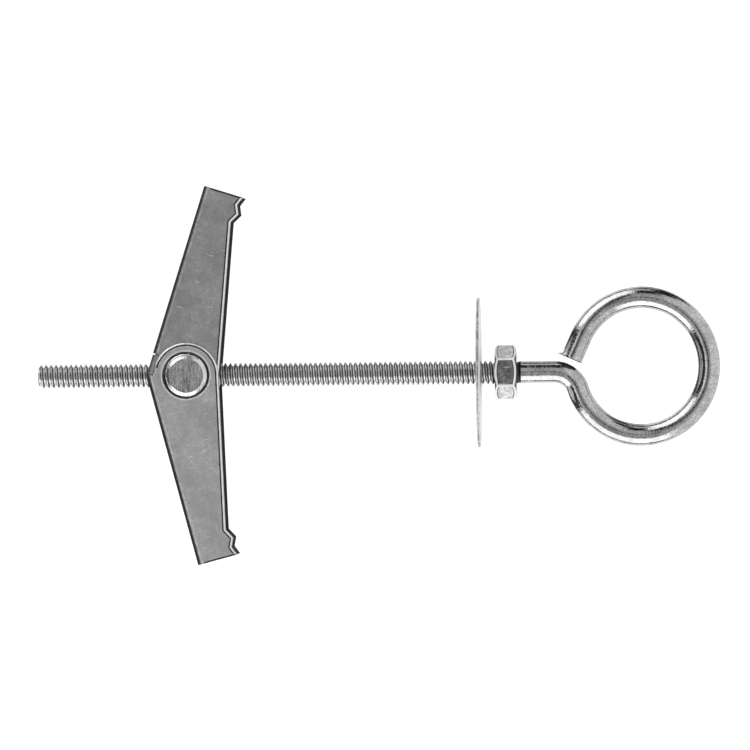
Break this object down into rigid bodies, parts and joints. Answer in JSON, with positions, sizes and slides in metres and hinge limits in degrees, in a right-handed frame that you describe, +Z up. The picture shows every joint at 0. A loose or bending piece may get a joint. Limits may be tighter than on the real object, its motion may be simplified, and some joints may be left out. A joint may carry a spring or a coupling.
{
  "type": "spring toggle bolt",
  "caption": "Sprung folding wings on a threaded cross pin grip behind a panel, and a wire eye bolt carries the load, with a wide washer and a hex nut to clamp the front.",
  "frame": {"origin": "floor level under the middle of the part's box, as it lies at rest on its washer and one wing", "axes": "+X along the bolt towards the eye, seen from above; +Y towards the upper wing; +Z up"},
  "size_m": [0.1356, 0.076, 0.0298],
  "materials": {
    "zinc_wire": "bright zinc-plated steel wire",
    "turned_pin": "turned steel with fine tool marks",
    "wing_sheet": "satin zinc-plated sheet with light scratches",
    "spring_wire": "drawn spring wire",
    "zinc_washer": "zinc-plated pressing",
    "zinc_nut": "zinc-plated cold-formed nut"
  },
  "bodies": {
    "bolt": {"eye_bolt": "zinc_wire"},
    "toggle": {"trunnion_nut": "turned_pin", "torsion_spring": "spring_wire"},
    "upper_wing": {"upper_wing": "wing_sheet"},
    "lower_wing": {"lower_wing": "wing_sheet"},
    "nut": {"hex_nut": "zinc_nut"},
    "washer": {"washer": "zinc_washer"}
  },
  "joints": [
    {"name": "toggle_travel", "type": "slide", "parent": "bolt", "child": "toggle", "axis": [0.9926, 0, 0.1214], "range_m": [-0.022, 0.018]},
    {"name": "upper_wing_fold", "type": "hinge", "parent": "toggle", "child": "upper_wing", "pos_m": [-0.0379, 0, 0.00748], "axis": [0.1213, -0.0388, -0.9919], "range_deg": [0, 72.6], "stiffness_Nm_per_rad": 0.024, "springref_deg": -45.84, "deforming": ["torsion_spring"]},
    {"name": "lower_wing_fold", "type": "hinge", "parent": "toggle", "child": "lower_wing", "pos_m": [-0.0379, 0, 0.00748], "axis": [-0.1213, 0.0388, 0.9919], "range_deg": [0, 75.4], "stiffness_Nm_per_rad": 0.024, "springref_deg": -45.84, "deforming": ["torsion_spring"]},
    {"name": "nut_travel", "type": "slide", "parent": "bolt", "child": "nut", "axis": [0.9926, 0, 0.1214], "range_m": [-0.02, 0]},
    {"name": "washer_slide", "type": "slide", "parent": "nut", "child": "washer", "axis": [0.9926, 0, 0.1214], "range_m": [-0.012, 0.0028]}
  ]
}
